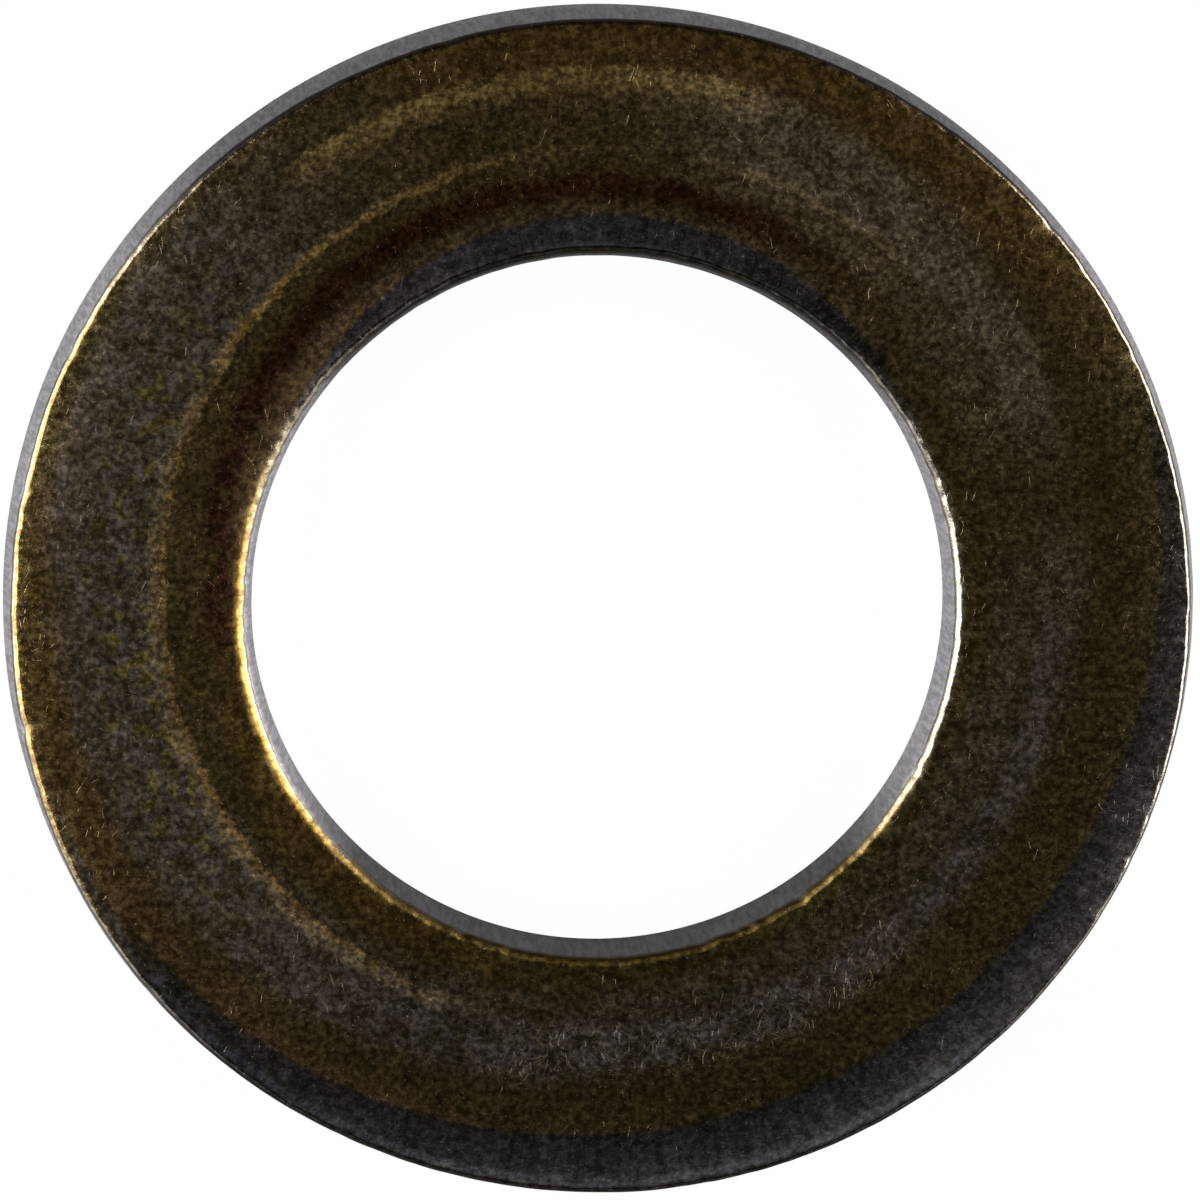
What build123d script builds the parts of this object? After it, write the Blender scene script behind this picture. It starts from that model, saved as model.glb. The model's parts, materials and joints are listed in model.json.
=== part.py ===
from build123d import *

import math
import os

# A stamped steel flat washer for a 10 mm screw, small series. Millimetres, +Z up.
# The origin is the centre of the underside, so the washer lies on Z = 0 with its die-rolled face up.
# Each edge runs from the upper face down: a wide shallow roll where the die pulled the steel down, a small
# corner, a shoulder that still leans, the upright burnished land, and an edge broken by tumbling.

# Driving dimensions
outer_diameter = 18.0
hole_diameter = 10.5
thickness = 1.6

rim_roll_width = 1.0
hole_roll_width = 0.8
roll_slope = 10.0
corner_radius = 0.12
shoulder_lean = 7.0
shoulder_height = 0.62
edge_break = 0.05


def edge(land_radius, outward, roll_width):
    """One edge of the section, as a chain of curves from the upper face down to the underside.
    outward is 1 where the steel ends at a larger radius, on the rim, and -1 in the hole."""
    slope, steep = math.radians(roll_slope), math.radians(90 - shoulder_lean)
    corner_width = corner_radius * (math.sin(steep) - math.sin(slope))
    shoulder_width = shoulder_height * math.tan(math.radians(shoulder_lean))
    face_end = land_radius - outward * (roll_width + corner_width + shoulder_width)
    turn = -outward * roll_slope
    roll = JernArc((face_end, thickness), (outward, 0), roll_width / math.sin(slope), turn)
    corner = JernArc(roll @ 1, roll % 1, corner_radius, -outward * (90 - shoulder_lean - roll_slope))
    land_top = (corner @ 1).Y - shoulder_height
    wall = Polyline(
        corner @ 1,
        (land_radius, land_top),
        (land_radius, edge_break),
        (land_radius - outward * edge_break, 0),
    )
    return [roll, corner, wall]


def washer():
    """The ring: one section between the two edges, turned once round Z."""
    rim = edge(outer_diameter / 2, 1, rim_roll_width)
    hole = edge(hole_diameter / 2, -1, hole_roll_width)
    upper_face = Line(hole[0] @ 0, rim[0] @ 0)
    underside = Line(rim[-1] @ 1, hole[-1] @ 1)
    section = make_face([upper_face, *rim, underside, *hole])
    return revolve(Plane.XZ * section, Axis.Z)


os.makedirs("parts", exist_ok=True)
export_step(washer(), "parts/washer.step")
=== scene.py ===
import json
import math

import bpy
import numpy as np
from mathutils import Matrix, Vector


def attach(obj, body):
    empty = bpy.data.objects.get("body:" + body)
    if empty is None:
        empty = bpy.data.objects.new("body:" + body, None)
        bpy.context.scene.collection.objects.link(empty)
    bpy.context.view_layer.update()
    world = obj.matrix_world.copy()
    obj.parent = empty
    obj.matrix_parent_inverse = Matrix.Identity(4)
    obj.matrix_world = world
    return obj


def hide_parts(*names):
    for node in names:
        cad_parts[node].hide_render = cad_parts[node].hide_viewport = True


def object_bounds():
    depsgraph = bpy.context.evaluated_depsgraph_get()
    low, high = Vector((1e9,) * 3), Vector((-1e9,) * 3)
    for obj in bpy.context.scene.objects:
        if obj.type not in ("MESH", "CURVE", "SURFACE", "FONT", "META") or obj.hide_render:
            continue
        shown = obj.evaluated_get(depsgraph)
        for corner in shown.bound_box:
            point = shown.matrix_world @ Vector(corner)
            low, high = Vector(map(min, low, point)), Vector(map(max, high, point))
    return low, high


# A yellow-chromated steel flat washer, lying on a pale table with its die-rolled face up.
# Lengths are metres; mm and um turn millimetres and micrometres into metres. Bearings are degrees round Z,
# from +X towards +Y.

mm = 0.001
um = 0.000001

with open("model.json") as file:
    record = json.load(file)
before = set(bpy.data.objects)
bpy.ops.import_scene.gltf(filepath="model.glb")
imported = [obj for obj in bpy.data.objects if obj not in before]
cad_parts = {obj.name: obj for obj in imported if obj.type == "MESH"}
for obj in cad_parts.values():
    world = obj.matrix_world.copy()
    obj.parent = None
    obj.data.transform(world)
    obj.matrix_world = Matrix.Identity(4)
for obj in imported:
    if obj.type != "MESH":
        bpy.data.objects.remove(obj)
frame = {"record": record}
cad_low, cad_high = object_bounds()

# The washer's own sizes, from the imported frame
rim_radius = min(*cad_high.xy, *-cad_low.xy)
thickness = cad_high.z
bore = next(m for m in frame["record"]["mounts"] if m["name"] == "bore")
hole_radius = bore["dims"]["r_mm"] * mm

# The section of each edge, from the upper face down: die roll, corner, leaning shoulder, upright land and
# broken edge. A roundness is how many times corner_radius a corner has.
rim_roll_width = 1.0 * mm
hole_roll_width = 0.8 * mm
roll_slope = math.radians(10)
corner_radius = 0.12 * mm
rim_roundness = 0.95
hole_roundness = 1.75
shoulder_lean = math.radians(7)
shoulder_height = 0.62 * mm
edge_break = 0.05 * mm

# How much the section varies round the ring, as shares of its sizes. The corners are rounder towards
# corner_wear_bearing and sharper on the other side, by corner_wear.
roll_variation = 0.05
corner_variation = 0.2
shoulder_variation = 0.12
corner_wear = 0.3
corner_wear_bearing = 185

# Dents along the two upper corners: how many, where their centres lie, the range of their sizes in
# millimetres, and the range of their depths as shares of their sizes
rim_dents = 60
hole_dents = 40
dent_inset = 0.12 * mm
dent_drop = 0.13 * mm
dent_sizes = (0.06, 0.13)
dent_depths = (0.05, 0.14)

# Mesh density, and the seed of the random draws
turn_steps = 840
face_steps = 16
roll_steps = 16
corner_steps = 12
shoulder_steps = 7
land_steps = 7
break_steps = 3
underside_steps = 8
mesh_seed = 17


# ---------------------------------------------------------------- the ring's mesh


def ripple(angle, rng, fewest, most, falloff=1.0):
    """Smooth noise round the ring, about -1 to 1: whole numbers of cosine waves, the finer the weaker."""
    total, weight = np.zeros_like(angle), 0.0
    for waves in range(fewest, most + 1):
        share = waves**-falloff
        total += share * np.cos(waves * angle + rng.uniform(0, math.tau))
        weight += share**2
    return total / (2 * math.sqrt(weight))


def swell(angle, bearing, narrowness):
    """1 at a bearing, falling smoothly to 0 on the far side of the ring."""
    return ((1 + np.cos(angle - math.radians(bearing))) / 2) ** narrowness


def edge_profile(land_radius, outward, roll_width, roundness, lean, rng, angle):
    """One edge as lists of radii and heights, each an array round the ring, from the upper face to the
    underside. outward is 1 for the rim and -1 for the hole. lean is how many times its nominal width the
    shoulder leans over, round the ring."""
    worn = np.cos(angle - math.radians(corner_wear_bearing))
    width = roll_width * (1 + roll_variation * ripple(angle, rng, 1, 9))
    corner_ripple = corner_variation * ripple(angle, rng, 2, 160, 0.4)
    corner = corner_radius * (roundness + corner_wear * worn + corner_ripple)
    shoulder = shoulder_height * (1 + shoulder_variation * ripple(angle, rng, 2, 90, 0.6))
    steep = math.pi / 2 - shoulder_lean
    corner_width = corner * (math.sin(steep) - math.sin(roll_slope))
    start = land_radius - outward * (width + corner_width + shoulder * lean * math.tan(shoulder_lean))
    bend = width / math.sin(roll_slope)
    radii = [start + outward * bend * math.sin(turn) for turn in np.linspace(0, roll_slope, roll_steps)]
    heights = [thickness - bend * (1 - math.cos(turn)) for turn in np.linspace(0, roll_slope, roll_steps)]
    roll_end, roll_foot = radii[-1], heights[-1]
    for turn in np.linspace(roll_slope, steep, corner_steps + 1)[1:]:
        radii.append(roll_end + outward * corner * (math.sin(turn) - math.sin(roll_slope)))
        heights.append(roll_foot - corner * (math.cos(roll_slope) - math.cos(turn)))
    wall_radius, wall_top = radii[-1], heights[-1]
    for share in np.linspace(0, 1, shoulder_steps + 1)[1:]:
        radii.append(wall_radius * (1 - share) + land_radius * share)
        heights.append(wall_top - shoulder * share)
    land_top = heights[-1]
    for share in np.linspace(0, 1, land_steps + 1)[1:]:
        radii.append(np.full_like(angle, land_radius))
        heights.append(land_top * (1 - share) + edge_break * share)
    for turn in np.linspace(0, math.pi / 2, break_steps + 1)[1:]:
        radii.append(np.full_like(angle, land_radius - outward * edge_break * (1 - math.cos(turn))))
        heights.append(np.full_like(angle, edge_break * (1 - math.sin(turn))))
    return radii, heights


def dent_edge(points, radius, outward, count, rng):
    """Small dents that tumbling against other washers has left on one edge's upper corner."""
    level = thickness - dent_drop
    for bearing in rng.uniform(0, math.tau, count):
        heading = np.array([math.cos(bearing), math.sin(bearing), 0])
        centre = heading * radius + np.array([0, 0, level])
        size = rng.uniform(*dent_sizes) * mm
        depth = size * rng.uniform(*dent_depths)
        away = ((points - centre) ** 2).sum(-1, keepdims=True) / size**2
        points -= np.exp(-away) * depth * (heading * outward + np.array([0, 0, 1])) / math.sqrt(2)


def ring_mesh(name):
    """The whole washer as a closed grid of quads, one loop of section points for each step round Z. The
    rim's shoulder leans most near bearing 111 and least near 217, and the hole's varies a little."""
    rng = np.random.default_rng(mesh_seed)
    angle = np.linspace(0, math.tau, turn_steps, endpoint=False)
    rim_lean = 1 - 0.3 * np.cos(2 * (angle - math.radians(295)))
    rim_lean += 0.95 * swell(angle, 111, 10) - swell(angle, 217, 20)
    hole_lean = 0.9 + 0.15 * np.cos(angle - math.radians(90))
    rim_r, rim_z = edge_profile(rim_radius, 1, rim_roll_width, rim_roundness, rim_lean, rng, angle)
    hole_r, hole_z = edge_profile(hole_radius, -1, hole_roll_width, hole_roundness, hole_lean, rng, angle)
    face_shares = np.linspace(0, 1, face_steps + 1)[1:-1]
    face_r = [hole_r[0] + (rim_r[0] - hole_r[0]) * s for s in face_shares]
    face_z = [np.full_like(angle, thickness) for _ in face_r]
    under_shares = np.linspace(0, 1, underside_steps + 1)[1:-1]
    under_r = [rim_r[-1] + (hole_r[-1] - rim_r[-1]) * s for s in under_shares]
    under_z = [np.zeros_like(angle) for _ in under_r]
    radii = np.array([*face_r, *rim_r, *under_r, *hole_r[::-1]])
    heights = np.array([*face_z, *rim_z, *under_z, *hole_z[::-1]])
    points = np.stack([radii * np.cos(angle), radii * np.sin(angle), heights], -1)
    dent_edge(points, rim_radius - dent_inset, 1, rim_dents, rng)
    dent_edge(points, hole_radius + dent_inset, -1, hole_dents, rng)
    along, around = len(radii), turn_steps
    index = np.arange(along * around).reshape(along, around)
    after = np.roll(index, -1, 0)
    quads = np.stack([index, after, np.roll(after, -1, 1), np.roll(index, -1, 1)], -1).reshape(-1, 4)
    mesh = bpy.data.meshes.new(name)
    mesh.from_pydata(points.reshape(-1, 3).tolist(), [], quads.tolist())
    mesh.polygons.foreach_set("use_smooth", [True] * len(quads))
    mesh.update()
    return mesh


# ---------------------------------------------------------------- shader nodes


class Graph:
    """Short names for the nodes of one material or world."""

    def __init__(self, tree):
        self.tree = tree
        tree.nodes.clear()

    def node(self, kind, **settings):
        made = self.tree.nodes.new("ShaderNode" + kind)
        for name, value in settings.items():
            setattr(made, name, value)
        return made

    def put(self, socket, value):
        """Links another node's output to a socket, or gives it a fixed value."""
        if isinstance(value, bpy.types.NodeSocket):
            self.tree.links.new(value, socket)
        else:
            socket.default_value = value

    def math(self, operation, *values):
        made = self.node("Math", operation=operation)
        for socket, value in zip(made.inputs, values):
            self.put(socket, value)
        return made.outputs[0]

    def chain(self, operation, *values):
        """One operation between all the values, from left to right."""
        result = values[0]
        for value in values[1:]:
            result = self.math(operation, result, value)
        return result

    def product(self, *values):
        return self.chain("MULTIPLY", *values)

    def total(self, *values):
        return self.chain("ADD", *values)

    def highest(self, *values):
        return self.chain("MAXIMUM", *values)

    def scaled(self, value, factor, offset):
        return self.math("MULTIPLY_ADD", value, factor, offset)

    def vector(self, operation, *values, scale=None):
        made = self.node("VectorMath", operation=operation)
        for socket, value in zip(made.inputs, values):
            self.put(socket, value)
        if scale is not None:
            self.put(made.inputs["Scale"], scale)
        return made.outputs["Value" if operation in ("DOT_PRODUCT", "LENGTH") else "Vector"]

    def rise(self, value, low, high, out_low=0.0, out_high=1.0):
        """out_low below low, out_high above high and smooth between; low above high makes it fall."""
        made = self.node("MapRange", interpolation_type="SMOOTHSTEP")
        names = ("Value", "From Min", "From Max", "To Min", "To Max")
        for name, number in zip(names, (value, low, high, out_low, out_high)):
            self.put(made.inputs[name], number)
        return made.outputs["Result"]

    def noise(self, place, scale, detail, roughness=0.5):
        made = self.node("TexNoise")
        names = ("Vector", "Scale", "Detail", "Roughness")
        for name, number in zip(names, (place, scale, detail, roughness)):
            self.put(made.inputs[name], number)
        return made.outputs["Fac"]

    def blend(self, share, first, second):
        """A colour from first to second."""
        made = self.node("Mix", data_type="RGBA")
        self.put(made.inputs[0], share)
        for socket, value in ((made.inputs[6], first), (made.inputs[7], second)):
            self.put(socket, value if isinstance(value, bpy.types.NodeSocket) else (*value, 1.0))
        return made.outputs[2]

    def turned(self, place, degrees, stretch):
        """Coordinates turned round Z and then stretched, for marks that run one way."""
        made = self.node("VectorRotate", rotation_type="Z_AXIS")
        self.put(made.inputs["Vector"], place)
        made.inputs["Angle"].default_value = math.radians(degrees)
        return self.vector("MULTIPLY", made.outputs["Vector"], stretch)


# ---------------------------------------------------------------- the plating

# Every length in this part is millimetres on the washer, except the relief's. Colours are linear.
top = thickness / mm

# Between these two radii the finish changes from the hole's to the rim's
hole_side_end = 6.9
rim_side_start = 7.0

# Depths under the upper face where the face's finish is full and has ended, and where the wall's is full
face_depth = 0.11
face_end = 0.14
wall_depth = 0.18

# Off-centre circles that bound the zones of the upper face: bearing and length of the shift, and radius
rim_wear_circle = (113, 0.783, 8.745)
hole_wear_circle = (90, 0.93, 5.03)
dull_outer_circle = (130, 0.85, 7.85)
dull_inner_circle = (135, 0.6, 6.25)
tide_circle = (90, 0.3, 6.64)
red_band_circle = (98, 0.69, 5.70)

# Sectors of the ring: bearing of the middle, half width, and width of the fade at each end
rim_wear_sector = (297, 76, 12)
burnish_sector = (257, 49, 14)
dull_sector = (245, 105, 35)
dull_right_sector = (50, 16, 26)
warm_dull_sector = (60, 35, 30)
violet_dull_sector = (290, 40, 30)
island_sector = (180, 22, 28)
tan_sector = (140, 85, 60)
rim_brown_sector = (222, 25, 40)
rim_brown_back_sector = (72, 22, 30)
hole_tan_sector = (175, 60, 40)
red_band_sector = (125, 50, 35)
tide_sector = (178, 52, 48)
tide_back_sector = (62, 8, 8)
wide_tide_sector = (200, 35, 35)
bright_tide_sector = (112, 18, 25)
tide_core_sector = (180, 45, 25)
second_line_sector = (98, 22, 8)
drip_sector = (92, 9, 8)
crowded_hair_sector = (284, 18, 20)
hole_fringe_sector = (240, 62, 50)
rim_fringe_sector = (176, 20, 20)
# Painted light on the face at the left, and painted shade at the front
painted_light_sector = (183, 15, 30)
painted_shade_sector = (268, 12, 30)

# The chromate film
film_dark = (0.31, 0.26, 0.095)
film_pale = (0.44, 0.335, 0.15)
film_reddish = (0.46, 0.27, 0.11)
film_greenish = (0.29, 0.28, 0.07)
film_tan = (0.57, 0.40, 0.19)
film_rim_brown = (0.66, 0.42, 0.17)
film_hole_tan = (0.57, 0.37, 0.13)
film_red_brown = (0.22, 0.085, 0.045)
film_thick = (0.54, 0.42, 0.12)

# The dull zone
dull_dark = (0.31, 0.265, 0.25)
dull_pale = (0.39, 0.32, 0.26)
dull_warm = (0.47, 0.38, 0.27)
dull_violet = (0.25, 0.215, 0.25)

# Drying lines
tide_brown = (0.39, 0.285, 0.13)
tide_bright = (0.88, 0.57, 0.20)
tide_orange = (0.70, 0.40, 0.12)
second_line_gold = (0.66, 0.45, 0.165)
drip_gold = (0.62, 0.50, 0.15)

# Bare metal
worn_dark = (0.215, 0.195, 0.165)
worn_pale = (0.33, 0.30, 0.26)
burnished = (0.51, 0.485, 0.435)
# Pale metal for the hair scratches, and for specks that are painted glints
scratch_and_glint = (0.80, 0.70, 0.52)
# The walls' bare zinc, with painted light where they face the lamps along X and painted shade where they
# face along Y
wall_zinc_painted_light = (0.76, 0.745, 0.775)
rim_wall_painted_shade = (0.41, 0.40, 0.42)
hole_wall_painted_shade = (0.265, 0.26, 0.265)

# Corners, coloured by the way they face the lamps: a painted highlight where they face along X, and painted
# shade at the back and beside the hole's front
corner_painted_highlight = (0.64, 0.58, 0.46)
corner_gold = (0.58, 0.35, 0.085)
rim_corner_front = (0.30, 0.285, 0.29)
rim_corner_painted_shade = (0.16, 0.13, 0.09)
hole_corner_front = (0.52, 0.345, 0.095)
hole_corner_beside_painted_shade = (0.37, 0.245, 0.067)
hole_corner_painted_shade = (0.26, 0.235, 0.21)
# Painted shade under the corners that face along Y
foot_painted_shade = (0.07, 0.055, 0.05)

# Hair scratches: their turns round Z, how much the noise behind them is squeezed along and across, the
# shift that keeps one direction's noise apart from the next one's, the noise values where a scratch starts
# and is full, the scale and the strength of what bends them, and how much more noise the crowded patch has
hair_turns = (4, 29, 53, 80, 107, 131, 158)
hair_squeeze = (3.0, 40, 1)
hair_shift = (7.3, 3.1, 1.7)
hair_start = 0.735
hair_full = 0.79
hair_drift_scale = 1.5
hair_drift = 0.35
crowding = 0.045

# Scales of the noises that run round the ring: the gold drips, and the fine lines in the worn metal
drip_scale = 42.0
wear_line_scale = 75.0

# The most that a reddish or greenish patch covers of the film's own colour
patch_strength = 0.55

# Roughness of the clean film, and what is added to it where each mark or zone is full
film_roughness = 0.19
dull_roughness = 0.10
drying_line_roughness = 0.11
worn_roughness = -0.05
wall_roughness = 0.55
bright_mark_roughness = 0.18
gold_fringe_roughness = 0.16

# Heights of the relief in micrometres
blotch_relief = 3.2
grain_relief = 2.4
speck_relief = 1.0
hair_relief = -0.7
wall_streak_relief = 6.0


class Finish(Graph):
    """The plating's nodes, with the coordinates, noises and regions that its zones share."""

    def __init__(self, tree):
        super().__init__(tree)
        self.place = self.vector("SCALE", self.node("TexCoord").outputs["Object"], scale=1 / mm)
        split = self.node("SeparateXYZ")
        self.put(split.inputs[0], self.place)
        self.height = split.outputs["Z"]
        self.flat_place = self.vector("MULTIPLY", self.place, (1, 1, 0))
        self.radius = self.vector("LENGTH", self.flat_place)
        self.heading = self.vector("NORMALIZE", self.flat_place)
        self.along_x = self.math("ABSOLUTE", self.vector("DOT_PRODUCT", self.heading, (1, 0, 0)))
        self.backward = self.vector("DOT_PRODUCT", self.heading, (0, 1, 0))

        # Random texture, from clouds to specks; streak runs up and down the walls
        self.cloud = self.noise(self.place, 0.6, 3, 0.6)
        self.mottle = self.noise(self.place, 3.0, 5, 0.7)
        self.blotch = self.noise(self.place, 5.5, 4, 0.65)
        self.granule = self.noise(self.place, 10.0, 2, 0.6)
        self.grain = self.noise(self.place, 16.0, 3, 0.7)
        self.speck = self.noise(self.place, 24.0, 2, 0.6)
        self.tint = self.noise(self.vector("ADD", self.place, (5, 9, 2)), 6.5, 4, 0.7)
        self.hue = self.noise(self.vector("ADD", self.place, (3, 1, 8)), 2.4, 6, 0.75)
        self.streak = self.noise(self.vector("MULTIPLY", self.place, (1, 1, 0.1)), 13.0, 3, 0.65)

        # Lengths that make the zones' outlines wander and look ragged
        wander = self.scaled(self.noise(self.place, 1.3, 4, 0.6), 0.5, -0.25)
        self.ragged = self.scaled(self.noise(self.place, 7.0, 4, 0.75), 0.6, -0.3)
        self.bend = self.total(wander, self.ragged)

        # The upper face with its rolls, the walls, and the hole's and the rim's side of the ring
        self.face = self.at_depth(face_end, face_depth)
        above_break = self.rise(self.height, 0.0, edge_break / mm)
        self.wall = self.product(self.at_depth(face_end, wall_depth), above_break)
        self.in_hole = self.rise(self.radius, rim_side_start, hole_side_end)
        self.on_rim = self.rise(self.radius, hole_side_end, rim_side_start)

        # Bounds that the dull zone and the drying lines share
        self.past_tide = self.total(self.outside(*tide_circle), self.product(self.bend, 0.55))
        self.outer_side = self.rise(self.past_tide, -0.03, 0.06, 0.6, 1.0)
        self.dull_limit = self.rise(self.total(self.outside(*dull_outer_circle), self.bend), 0.2, -0.3)

    def at_depth(self, low, high):
        """0 at depth low under the upper face, 1 at depth high and smooth between."""
        return self.rise(self.height, top - low, top - high)

    def sector(self, bearing, half_width, fade):
        """1 within half_width of a bearing round the ring, falling to 0 over fade degrees more."""
        a = math.radians(bearing)
        along = self.vector("DOT_PRODUCT", self.heading, (math.cos(a), math.sin(a), 0))
        edge = math.cos(math.radians(min(half_width + fade, 180)))
        return self.rise(along, edge, math.cos(math.radians(half_width)))

    def outside(self, bearing, shift, radius):
        """Distance outside a circle whose centre is off the washer's axis by shift, towards a bearing."""
        a = math.radians(bearing)
        centre = (shift * math.cos(a), shift * math.sin(a), 0)
        from_centre = self.vector("SUBTRACT", self.flat_place, centre)
        return self.math("SUBTRACT", self.vector("LENGTH", from_centre), radius)


def film_colour(f):
    """Olive film with reddish and greenish patches. It is tan in places, brown on parts of the rim's roll,
    tan beside the hole, and has a red-brown band round part of the hole."""
    film = f.blend(f.rise(f.tint, 0.38, 0.62), film_dark, film_pale)
    film = f.blend(f.rise(f.hue, 0.50, 0.66, 0.0, patch_strength), film, film_reddish)
    film = f.blend(f.rise(f.hue, 0.48, 0.34, 0.0, patch_strength), film, film_greenish)
    tan = f.product(f.rise(f.cloud, 0.40, 0.62, 0.25, 1.0), f.sector(*tan_sector))
    film = f.blend(f.product(tan, 0.85), film, film_tan)
    bent_radius = f.total(f.radius, f.bend)
    rim_brown = f.highest(f.sector(*rim_brown_sector), f.product(f.sector(*rim_brown_back_sector), 0.95))
    rim_brown = f.product(rim_brown, f.rise(bent_radius, 7.7, 8.3))
    film = f.blend(f.product(rim_brown, 0.8), film, film_rim_brown)
    hole_tan = f.product(f.rise(bent_radius, 6.1, 5.8), f.sector(*hole_tan_sector))
    film = f.blend(f.product(hole_tan, 0.8), film, film_hole_tan)
    off_band = f.math("ABSOLUTE", f.total(f.outside(*red_band_circle), f.product(f.bend, 0.5)))
    red_band = f.product(f.rise(off_band, 0.34, 0.08), f.sector(*red_band_sector))
    return f.blend(f.product(red_band, 0.9), film, film_red_brown)


def dull_zone(f, colour):
    """A dull greyish zone between two off-centre circles, where islands of thick yellow film are left. Gives
    how dull each place is, and the colour with the zone on it."""
    dull_start = f.rise(f.total(f.outside(*dull_inner_circle), f.bend), -0.2, 0.2)
    dull_side = f.highest(f.sector(*dull_sector), f.product(f.sector(*dull_right_sector), 0.9))
    patchy = f.rise(f.mottle, 0.32, 0.62, 0.45, 1.0)
    dull = f.product(f.dull_limit, dull_start, f.outer_side, dull_side, patchy, f.face)
    dull_colour = f.blend(f.rise(f.tint, 0.42, 0.58), dull_dark, dull_pale)
    dull_colour = f.blend(f.sector(*warm_dull_sector), dull_colour, dull_warm)
    dull_colour = f.blend(f.product(f.sector(*violet_dull_sector), 0.5), dull_colour, dull_violet)
    colour = f.blend(f.product(dull, 0.9), colour, dull_colour)
    island = f.rise(f.noise(f.place, 4.0, 1, 0.5), 0.565, 0.60)
    near_tide = f.rise(f.past_tide, 1.3, 0.9)
    island = f.product(island, f.sector(*island_sector), near_tide, f.dull_limit, f.outer_side)
    return dull, f.blend(f.product(island, 0.8), colour, film_thick)


def drying_lines(f, colour):
    """A ragged drying line along the tide circle with an orange core at the left, a wider second line near
    the rim, and short gold drips between them. Gives how strong the lines are, and the colour with them."""
    tide_end = f.scaled(f.sector(*wide_tide_sector), -0.13, f.past_tide)
    tide = f.product(f.rise(f.past_tide, -0.09, -0.03), f.rise(tide_end, 0.15, 0.02))
    tide = f.product(tide, f.highest(f.sector(*tide_sector), f.sector(*tide_back_sector)))
    ragged_radius = f.total(f.radius, f.product(f.ragged, 0.4))
    second = f.product(f.rise(ragged_radius, 7.60, 8.02), f.rise(ragged_radius, 8.22, 8.16))
    second = f.product(second, f.sector(*second_line_sector), 0.9)
    lines = f.product(f.highest(tide, second), f.rise(f.blotch, 0.32, 0.54, 0.4, 1.0), f.face)
    tide_colour = f.blend(f.sector(*bright_tide_sector), tide_brown, tide_bright)
    colour = f.blend(f.product(lines, 0.85), colour, f.blend(second, tide_colour, second_line_gold))
    core = f.rise(f.math("ABSOLUTE", f.total(f.past_tide, 0.01)), 0.06, 0.02)
    core = f.product(core, f.sector(*tide_core_sector), f.rise(f.blotch, 0.36, 0.52), f.face)
    colour = f.blend(f.product(core, 0.7), colour, tide_orange)
    drip = f.rise(f.noise(f.vector("SCALE", f.heading, scale=drip_scale), 1.0, 1.0), 0.60, 0.68)
    drip = f.product(drip, f.sector(*drip_sector), f.rise(f.radius, 7.5, 7.2), f.rise(f.blotch, 0.40, 0.56))
    return lines, f.blend(f.product(drip, 0.5), colour, drip_gold)


def worn_and_shaded_rolls(f, colour):
    """Tumbling has worn the film off part of each die roll and burnished a line along the front of the rim.
    The hole's roll has painted shade towards the back of the hole. Gives how worn each place is, and the
    colour."""
    ragged = f.product(f.ragged, 0.3)
    rim_wear = f.rise(f.total(f.outside(*rim_wear_circle), ragged), -0.03, 0.03)
    rim_wear = f.product(rim_wear, f.sector(*rim_wear_sector))
    hole_wear = f.rise(f.total(f.outside(*hole_wear_circle), ragged), 0.03, -0.03)
    worn = f.product(f.highest(rim_wear, hole_wear), f.face)
    wear_lines = f.noise(f.vector("SCALE", f.heading, scale=wear_line_scale), 1.0, 2)
    worn_colour = f.blend(f.rise(wear_lines, 0.35, 0.65), worn_dark, worn_pale)
    colour = f.blend(f.product(worn, 0.9), colour, worn_colour)
    burnish = f.product(f.at_depth(0.056, 0.069), f.at_depth(0.086, 0.079), f.sector(*burnish_sector))
    burnish = f.product(burnish, f.on_rim, f.rise(f.blotch, 0.30, 0.50, 0.45, 1.0), f.face)
    colour = f.blend(f.product(burnish, 0.85), colour, burnished)
    # Painted shade on the hole's roll towards the back of the hole
    painted_shade = f.product(f.at_depth(0.030, 0.052), f.in_hole, f.face, f.rise(f.backward, 0.45, 0.8))
    return worn, f.vector("SCALE", colour, scale=f.scaled(painted_shade, -0.34, 1.0))


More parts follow.
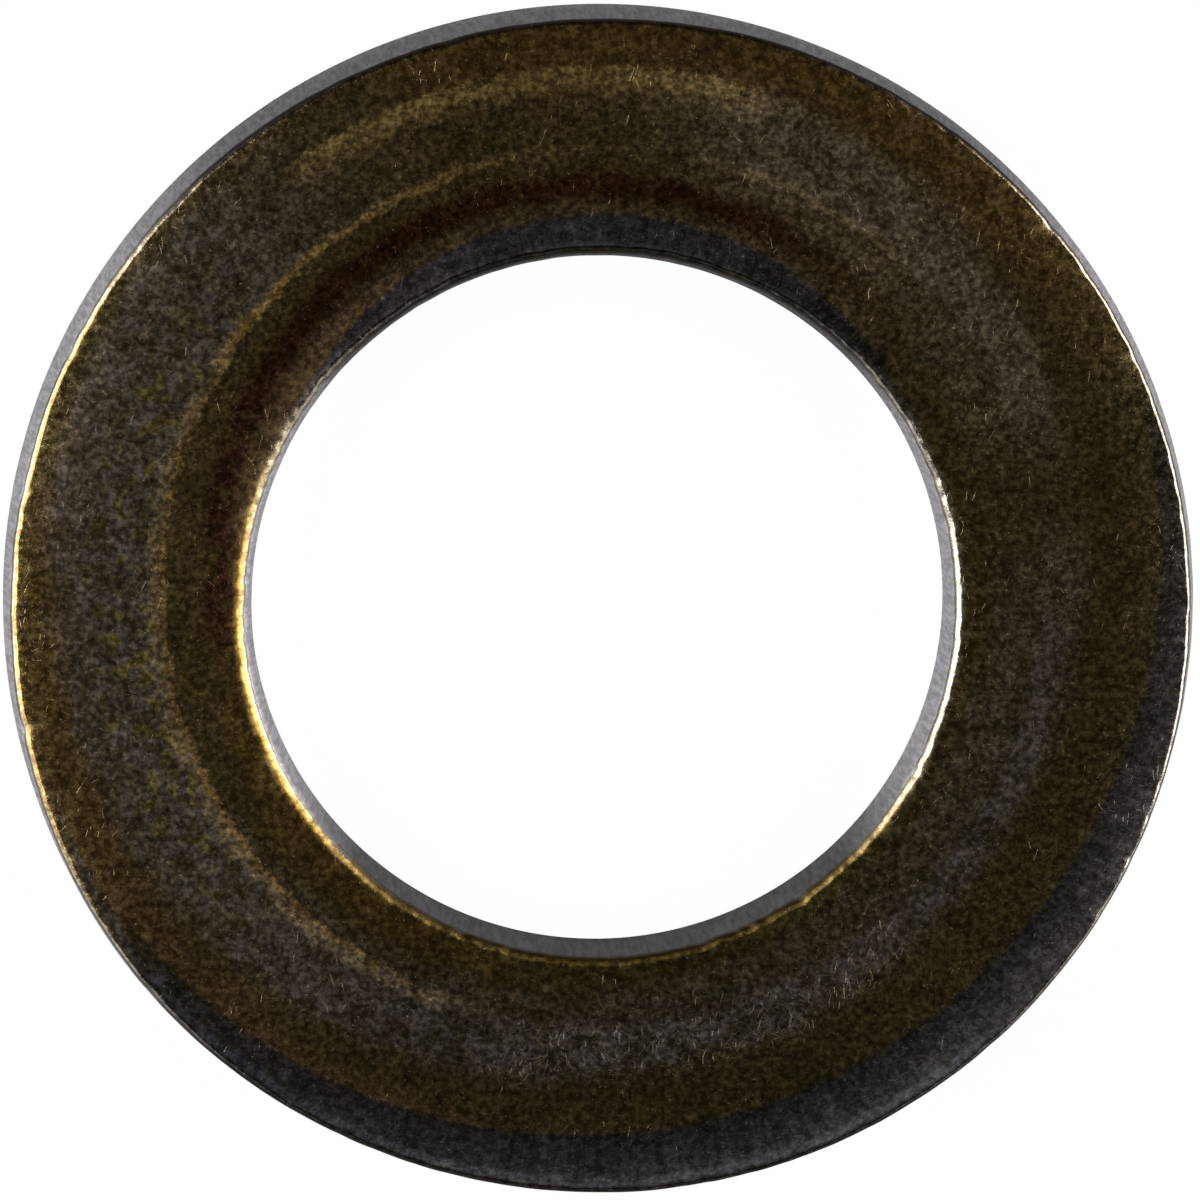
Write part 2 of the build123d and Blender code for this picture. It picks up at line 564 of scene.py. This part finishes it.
def corners_and_walls(f, colour):
    """Corner colours follow the way a corner faces the lamps: pale where they face along X, a painted
    highlight, and where they face along Y gold at the hole's front and dark elsewhere, painted shade, with
    painted shade under them too. The film's gold fringe runs over the corner into the hole, and over part of
    the rim's. The walls are bare zinc with painted light where they face along X and painted shade where
    they face along Y.
    Gives where the gold fringe lies on a corner, and the colour."""
    along_y = f.rise(f.along_x, 0.86, 0.60)
    corner_height = f.rise(f.radius, hole_side_end, rim_side_start, top - 0.055, top - 0.085)
    corner_height = f.math("SUBTRACT", corner_height, f.product(f.in_hole, along_y, 0.013))
    corner = f.rise(f.math("SUBTRACT", f.height, corner_height), 0.0, -0.02)
    hole_fringe = f.product(f.in_hole, f.sector(*hole_fringe_sector), f.at_depth(0.14, 0.09))
    rim_fringe = f.product(f.sector(*rim_fringe_sector), f.at_depth(0.12, 0.10), f.on_rim)
    fringe = f.highest(hole_fringe, rim_fringe)
    # Corner colours by facing: painted highlight along X, painted shade at the back and beside the hole's
    # front
    hole_front = f.blend(f.rise(f.along_x, 0.15, 0.50), hole_corner_front, hole_corner_beside_painted_shade)
    front = f.blend(f.in_hole, rim_corner_front, hole_front)
    back = f.blend(f.in_hole, rim_corner_painted_shade, hole_corner_painted_shade)
    front_or_back = f.blend(f.rise(f.backward, 0.2, -0.2), back, front)
    corner_colour = f.blend(along_y, f.blend(fringe, corner_painted_highlight, corner_gold), front_or_back)
    colour = f.blend(corner, colour, corner_colour)
    # Walls: painted light where they face along X, painted shade where they face along Y
    rim_wall = f.blend(along_y, wall_zinc_painted_light, rim_wall_painted_shade)
    hole_wall = f.blend(f.rise(f.along_x, 0.92, 0.66), wall_zinc_painted_light, hole_wall_painted_shade)
    wall_colour = f.blend(f.in_hole, rim_wall, hole_wall)
    wall_colour = f.vector("SCALE", wall_colour, scale=f.rise(f.streak, 0.30, 0.70, 0.78, 1.22))
    colour = f.blend(f.wall, colour, wall_colour)
    # Painted shade under the corners that face along Y, weaker in the hole
    foot = f.product(f.at_depth(0.10, 0.118), f.at_depth(0.21, 0.18), along_y)
    foot = f.product(foot, f.scaled(f.in_hole, -0.25, 0.85))
    return f.product(corner, fringe), f.blend(foot, colour, foot_painted_shade)


def scratches(f):
    """Short, slightly bent hair scratches that cross each other at many angles. They lie in some of the
    clouds, and closer together in one crowded patch."""
    crowd = f.product(f.sector(*crowded_hair_sector), f.rise(f.radius, 6.1, 6.5), f.rise(f.radius, 7.4, 7.0))
    drift = f.node("TexNoise")
    f.put(drift.inputs["Vector"], f.place)
    drift.inputs["Scale"].default_value = hair_drift_scale
    bent = f.vector("ADD", f.place, f.vector("SCALE", drift.outputs["Color"], scale=hair_drift))
    hairs = 0.0
    for n, degrees in enumerate(hair_turns):
        lane = f.vector("ADD", f.turned(bent, degrees, hair_squeeze), tuple(n * s for s in hair_shift))
        strength = f.scaled(crowd, crowding, f.noise(lane, 1.0, 1.0, 0.4))
        hairs = f.highest(hairs, f.rise(strength, hair_start, hair_full))
    return f.product(hairs, f.highest(f.rise(f.cloud, 0.42, 0.60, 0.12, 1.0), crowd))


def plating():
    """Yellow chromate over zinc. The upper face has an olive film, a dull zone, drying lines and a red-brown
    band round the hole. Tumbling has worn the film off part of each die roll and off the walls, and has
    left hair scratches. Specks of pale metal on the face are painted glints, and the face has painted light
    at the left and painted shade at the front."""
    mat = bpy.data.materials.new("yellow_chromate")
    mat.use_nodes = True
    f = Finish(mat.node_tree)
    dull, colour = dull_zone(f, film_colour(f))
    lines, colour = drying_lines(f, colour)
    worn, colour = worn_and_shaded_rolls(f, colour)
    gold, colour = corners_and_walls(f, colour)
    hairs = scratches(f)

    shade = f.product(
        f.rise(f.mottle, 0.32, 0.68, 0.70, 1.32),
        f.rise(f.granule, 0.34, 0.68, 0.62, 1.46),
        f.rise(f.grain, 0.30, 0.70, 0.84, 1.16),
    )
    # Painted light on the face near bearing 183 and painted shade near bearing 268
    paler = f.scaled(f.sector(*painted_light_sector), 0.14, 1.0)
    shade = f.product(shade, f.scaled(f.sector(*painted_shade_sector), -0.14, paler))
    shade = f.total(f.product(shade, f.face), f.math("SUBTRACT", 1.0, f.face))
    colour = f.vector("SCALE", colour, scale=shade)
    # Hair scratches and specks of pale metal; the specks are painted glints
    bright = f.highest(f.product(f.rise(f.speck, 0.66, 0.74), 0.7), f.product(hairs, 0.34))
    bright = f.highest(bright, f.product(f.rise(f.speck, 0.62, 0.70), worn, 0.45))
    bright = f.product(bright, f.face)
    colour = f.blend(bright, colour, scratch_and_glint)

    rough = f.total(
        film_roughness,
        f.product(dull, dull_roughness),
        f.product(lines, drying_line_roughness),
        f.product(worn, worn_roughness),
        f.product(f.wall, wall_roughness),
        f.scaled(f.granule, 0.16, -0.08),
        f.product(bright, bright_mark_roughness),
        f.product(gold, gold_fringe_roughness),
    )
    relief = f.total(
        f.product(f.blotch, blotch_relief),
        f.product(f.grain, grain_relief),
        f.product(f.speck, speck_relief),
        f.product(hairs, hair_relief),
        f.product(f.streak, f.wall, wall_streak_relief),
    )
    bump = f.node("Bump")
    f.put(bump.inputs["Height"], relief)
    bump.inputs["Strength"].default_value = 1.0
    bump.inputs["Distance"].default_value = um

    shader = f.node("BsdfPrincipled")
    shader.inputs["Metallic"].default_value = 1.0
    f.put(shader.inputs["Base Color"], colour)
    f.put(shader.inputs["Roughness"], rough)
    f.put(shader.inputs["Normal"], bump.outputs["Normal"])
    out = f.node("OutputMaterial")
    f.put(out.inputs["Surface"], shader.outputs[0])
    return mat


def washer_body():
    """The washer's one piece."""
    body = bpy.data.objects.new("washer_body", ring_mesh("washer_body"))
    bpy.context.scene.collection.objects.link(body)
    body.data.materials.append(plating())
    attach(body, "root")
    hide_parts("washer")


# ---------------------------------------------------------------- table, light and camera

# The table: its reach, how far it lies under the washer, the matt surface's grey, the glow's strength, and
# the share of the glow in what the camera sees
table_reach = 40 * rim_radius
table_drop = 2 * um
table_grey = (0.28, 0.28, 0.28, 1)
white = (1, 1, 1, 1)
table_glow = 1.15
table_glow_share = 0.85

# The room: its ceiling, the lit part above the front, the part straight overhead, and its walls
front_bearing = -65
ceiling_warm = (0.032, 0.029, 0.0165)
ceiling_dim = (0.021, 0.019, 0.011)
front_left = (0.050, 0.049, 0.072)
front_right = (0.085, 0.080, 0.100)
front_far = (0.150, 0.145, 0.180)
overhead = (0.020, 0.018, 0.016)
dark_wall = (0.07, 0.066, 0.06)
side_wall = (0.60, 0.59, 0.61)

softbox_distance = 0.30
softbox_radiance = 3.0

# The camera's direction from the washer. Its distance, the width and the middle of what it sees, and the end
# of its view are in rim radii, and its sensor's width is in millimetres.
camera_way = (-0.0467, 0.1232, 1)
camera_distance = 22.2
seen_width = 2.007
aim_left = 0.0027
aim_up = 0.0141
sensor_width = 36
clip_end = 100


def table_top():
    """A table that the camera sees mostly as a white glow and for the rest as a lit matt surface, so it is
    plain white, as in a high-key product shot, with only a trace of the washer's shadow."""
    mesh = bpy.data.meshes.new("table_top")
    corners = [(x * table_reach, y * table_reach, 0) for x, y in ((-1, -1), (1, -1), (1, 1), (-1, 1))]
    mesh.from_pydata(corners, [], [(0, 1, 2, 3)])
    table = bpy.data.objects.new("table_top", mesh)
    bpy.context.scene.collection.objects.link(table)
    mat = bpy.data.materials.new("table_white")
    mat.use_nodes = True
    g = Graph(mat.node_tree)
    matt = g.node("BsdfDiffuse")
    matt.inputs["Color"].default_value = table_grey
    glow = g.node("Emission")
    glow.inputs["Color"].default_value = white
    glow.inputs["Strength"].default_value = table_glow
    mix = g.node("MixShader")
    seen = g.node("LightPath").outputs["Is Camera Ray"]
    g.put(mix.inputs[0], g.product(seen, table_glow_share))
    g.put(mix.inputs[1], matt.outputs[0])
    g.put(mix.inputs[2], glow.outputs[0])
    out = g.node("OutputMaterial")
    g.put(out.inputs["Surface"], mix.outputs[0])
    table.data.materials.append(mat)
    table.location.z = -table_drop


def studio():
    """What stands round the table: a dim warm ceiling, a cooler lit part above the front that starts at a
    crisp edge and is brightest at its far end, dark walls, and paler walls at the two sides. The camera
    sees plain white beyond the table."""
    world = bpy.data.worlds.new("studio")
    bpy.context.scene.world = world
    world.use_nodes = True
    g = Graph(world.node_tree)
    way = g.vector("NORMALIZE", g.node("TexCoord").outputs["Generated"])
    split = g.node("SeparateXYZ")
    g.put(split.inputs[0], way)
    height = split.outputs["Z"]
    a = math.radians(front_bearing)
    forward = g.vector("DOT_PRODUCT", way, (math.cos(a), math.sin(a), 0))
    level = g.vector("NORMALIZE", g.vector("MULTIPLY", way, (1, 1, 0)))
    side = g.rise(g.math("ABSOLUTE", g.vector("DOT_PRODUCT", level, (1, 0, 0))), 0.35, 0.85)

    room = g.blend(g.rise(forward, 0.14, 0.20), ceiling_warm, ceiling_dim)
    front = g.blend(g.rise(split.outputs["X"], 0.12, 0.40), front_left, front_right)
    front = g.blend(g.rise(forward, 0.36, 0.47), front, front_far)
    room = g.blend(g.rise(forward, 0.238, 0.254), room, front)
    room = g.blend(g.rise(height, 0.82, 0.74), room, overhead)
    room = g.blend(g.rise(height, 0.55, 0.40), room, g.blend(side, dark_wall, side_wall))
    dim = g.node("Background")
    g.put(dim.inputs["Color"], room)
    plain = g.node("Background")
    plain.inputs["Color"].default_value = white
    mix = g.node("MixShader")
    g.put(mix.inputs[0], g.node("LightPath").outputs["Is Camera Ray"])
    g.put(mix.inputs[1], dim.outputs[0])
    g.put(mix.inputs[2], plain.outputs[0])
    out = g.node("OutputWorld")
    g.put(out.inputs["Surface"], mix.outputs[0])


def softbox(name, bearing, lift, width, tall):
    """A soft area light that faces the washer's middle from a bearing and a height in degrees."""
    light = bpy.data.lights.new(name, "AREA")
    light.shape = "RECTANGLE"
    light.size = width
    light.size_y = tall
    light.energy = softbox_radiance * math.pi * width * tall
    lamp = bpy.data.objects.new(name, light)
    bpy.context.scene.collection.objects.link(lamp)
    a, e = math.radians(bearing), math.radians(lift)
    way = Vector((math.cos(a) * math.cos(e), math.sin(a) * math.cos(e), math.sin(e)))
    lamp.location = way * softbox_distance
    lamp.rotation_euler = way.to_track_quat("Z", "Y").to_euler()
    lamp.visible_camera = False


def camera():
    """Nearly overhead, leaning a little to the back and the left, with the washer filling the frame."""
    stand_off = camera_distance * rim_radius
    way = Vector(camera_way).normalized()
    data = bpy.data.cameras.new("camera")
    cam = bpy.data.objects.new("camera", data)
    bpy.context.scene.collection.objects.link(cam)
    across = Vector((0, 1, 0)).cross(way).normalized()
    up = way.cross(across)
    cam.rotation_euler = Matrix((across, up, way)).transposed().to_euler()
    middle = Vector((0, 0, thickness))
    aim = middle - across * aim_left * rim_radius + up * aim_up * rim_radius
    cam.location = aim + way * stand_off
    data.sensor_width = sensor_width
    data.lens = sensor_width * stand_off / (seen_width * rim_radius)
    data.clip_start = rim_radius
    data.clip_end = clip_end * rim_radius
    bpy.context.scene.camera = cam


washer_body()
table_top()
studio()
softbox("softbox_left", 175, 36, 0.26, 0.24)
softbox("softbox_right", 5, 32, 0.28, 0.22)
camera()
bpy.context.scene.view_settings.view_transform = "Standard"
